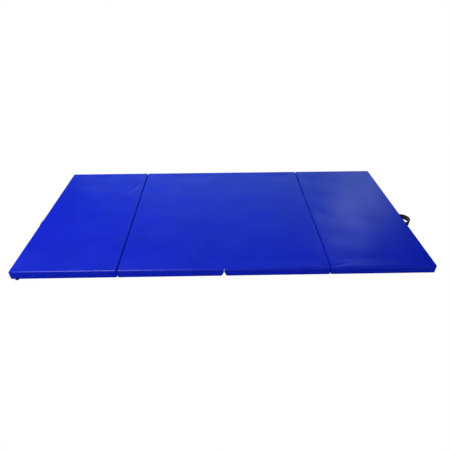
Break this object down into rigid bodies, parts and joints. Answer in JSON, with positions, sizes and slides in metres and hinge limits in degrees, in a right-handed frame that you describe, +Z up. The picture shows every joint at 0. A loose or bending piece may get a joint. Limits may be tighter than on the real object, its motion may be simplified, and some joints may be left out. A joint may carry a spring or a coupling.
{
  "type": "folding gym mat",
  "caption": "Folding gym mat: equal foam panels in blue vinyl covers, hinged in an accordion fold, with webbing handles, zips and hook-and-loop ends.",
  "frame": {"origin": "middle of the whole part's box, on the floor that the mat rests on; the middle fold is 24 mm towards -X from it, because one handle loop stands out further than the other", "axes": "+X along the unfolded mat towards the end with the open handle loop, +Y across it towards the zipped side, +Z up"},
  "size_m": [2.5044, 1.2346, 0.05],
  "materials": {
    "vinyl": "gloss",
    "foam": "matte",
    "webbing": "matte",
    "lining": "matte",
    "thread": "satin",
    "zip_tape": "matte",
    "zip_coil": "satin",
    "zip_metal": "satin",
    "hook_tape": "matte",
    "loop_tape": "matte"
  },
  "bodies": {
    "panel_1": {"foam_core_1": "foam", "top_skin_1": "vinyl", "bottom_skin_1": "vinyl", "boxing_1": "vinyl", "outer_leaf_1": "vinyl", "zip_tape_1": "zip_tape", "zip_chain_1": "zip_coil", "zip_stops_1": "zip_metal", "handle_ends_left": "webbing", "handle_backing_left": "lining", "hook_strip": "hook_tape"},
    "panel_2": {"foam_core_2": "foam", "top_skin_2": "vinyl", "bottom_skin_2": "vinyl", "boxing_2": "vinyl", "outer_leaf_2": "vinyl", "zip_tape_2": "zip_tape", "zip_chain_2": "zip_coil", "zip_stops_2": "zip_metal", "middle_leaf_2": "lining"},
    "panel_3": {"foam_core_3": "foam", "top_skin_3": "vinyl", "bottom_skin_3": "vinyl", "boxing_3": "vinyl", "outer_leaf_3": "vinyl", "zip_tape_3": "zip_tape", "zip_chain_3": "zip_coil", "zip_stops_3": "zip_metal", "middle_leaf_3": "lining"},
    "panel_4": {"foam_core_4": "foam", "top_skin_4": "vinyl", "bottom_skin_4": "vinyl", "boxing_4": "vinyl", "outer_leaf_4": "vinyl", "zip_tape_4": "zip_tape", "zip_chain_4": "zip_coil", "zip_stops_4": "zip_metal", "handle_ends_right": "webbing", "handle_backing_right": "lining", "loop_strip": "loop_tape"},
    "zip_slider_1": {"zip_slider_1": "zip_metal"},
    "zip_pull_1": {"zip_pull_1": "zip_metal"},
    "zip_slider_2": {"zip_slider_2": "zip_metal"},
    "zip_pull_2": {"zip_pull_2": "zip_metal"},
    "zip_slider_3": {"zip_slider_3": "zip_metal"},
    "zip_pull_3": {"zip_pull_3": "zip_metal"},
    "zip_slider_4": {"zip_slider_4": "zip_metal"},
    "zip_pull_4": {"zip_pull_4": "zip_metal"},
    "handle_left": {"handle_loop_left": "webbing"},
    "handle_right": {"handle_loop_right": "webbing"}
  },
  "joints": [
    {"name": "fold_1_2", "type": "hinge", "parent": "panel_2", "child": "panel_1", "pos_m": [-0.63375, 0.00065, -0.00015], "axis": [0, -1, 0], "range_deg": [0, 179.9]},
    {"name": "fold_2_3", "type": "hinge", "parent": "panel_2", "child": "panel_3", "pos_m": [-0.02375, 0.00065, 0.05015], "axis": [0, -1, 0], "range_deg": [0, 179.9]},
    {"name": "fold_3_4", "type": "hinge", "parent": "panel_3", "child": "panel_4", "pos_m": [0.58625, 0.00065, -0.00015], "axis": [0, 1, 0], "range_deg": [0, 179.9]},
    {"name": "handle_left_swing", "type": "hinge", "parent": "panel_1", "child": "handle_left", "pos_m": [-1.24375, -0.09435, 0.004], "axis": [0, -1, 0], "range_deg": [0, 30], "stiffness_Nm_per_rad": 0.05},
    {"name": "handle_right_swing", "type": "hinge", "parent": "panel_4", "child": "handle_right", "pos_m": [1.19625, -0.09435, 0.022], "axis": [0, -1, 0], "range_deg": [-3, 25], "stiffness_Nm_per_rad": 0.05},
    {"name": "zip_1_slide", "type": "slide", "parent": "panel_1", "child": "zip_slider_1", "axis": [-1, 0, 0], "range_m": [0, 0.498]},
    {"name": "zip_1_pull_turn", "type": "hinge", "parent": "zip_slider_1", "child": "zip_pull_1", "pos_m": [-0.68975, 0.61565, 0.025], "axis": [0, 0, 1], "range_deg": [0, 180]},
    {"name": "zip_2_slide", "type": "slide", "parent": "panel_2", "child": "zip_slider_2", "axis": [-1, 0, 0], "range_m": [0, 0.498]},
    {"name": "zip_2_pull_turn", "type": "hinge", "parent": "zip_slider_2", "child": "zip_pull_2", "pos_m": [-0.07975, 0.61565, 0.025], "axis": [0, 0, 1], "range_deg": [0, 180]},
    {"name": "zip_3_slide", "type": "slide", "parent": "panel_3", "child": "zip_slider_3", "axis": [-1, 0, 0], "range_m": [0, 0.498]},
    {"name": "zip_3_pull_turn", "type": "hinge", "parent": "zip_slider_3", "child": "zip_pull_3", "pos_m": [0.53025, 0.61565, 0.025], "axis": [0, 0, 1], "range_deg": [0, 180]},
    {"name": "zip_4_slide", "type": "slide", "parent": "panel_4", "child": "zip_slider_4", "axis": [-1, 0, 0], "range_m": [0, 0.498]},
    {"name": "zip_4_pull_turn", "type": "hinge", "parent": "zip_slider_4", "child": "zip_pull_4", "pos_m": [1.14025, 0.61565, 0.025], "axis": [0, 0, 1], "range_deg": [0, 180]}
  ]
}
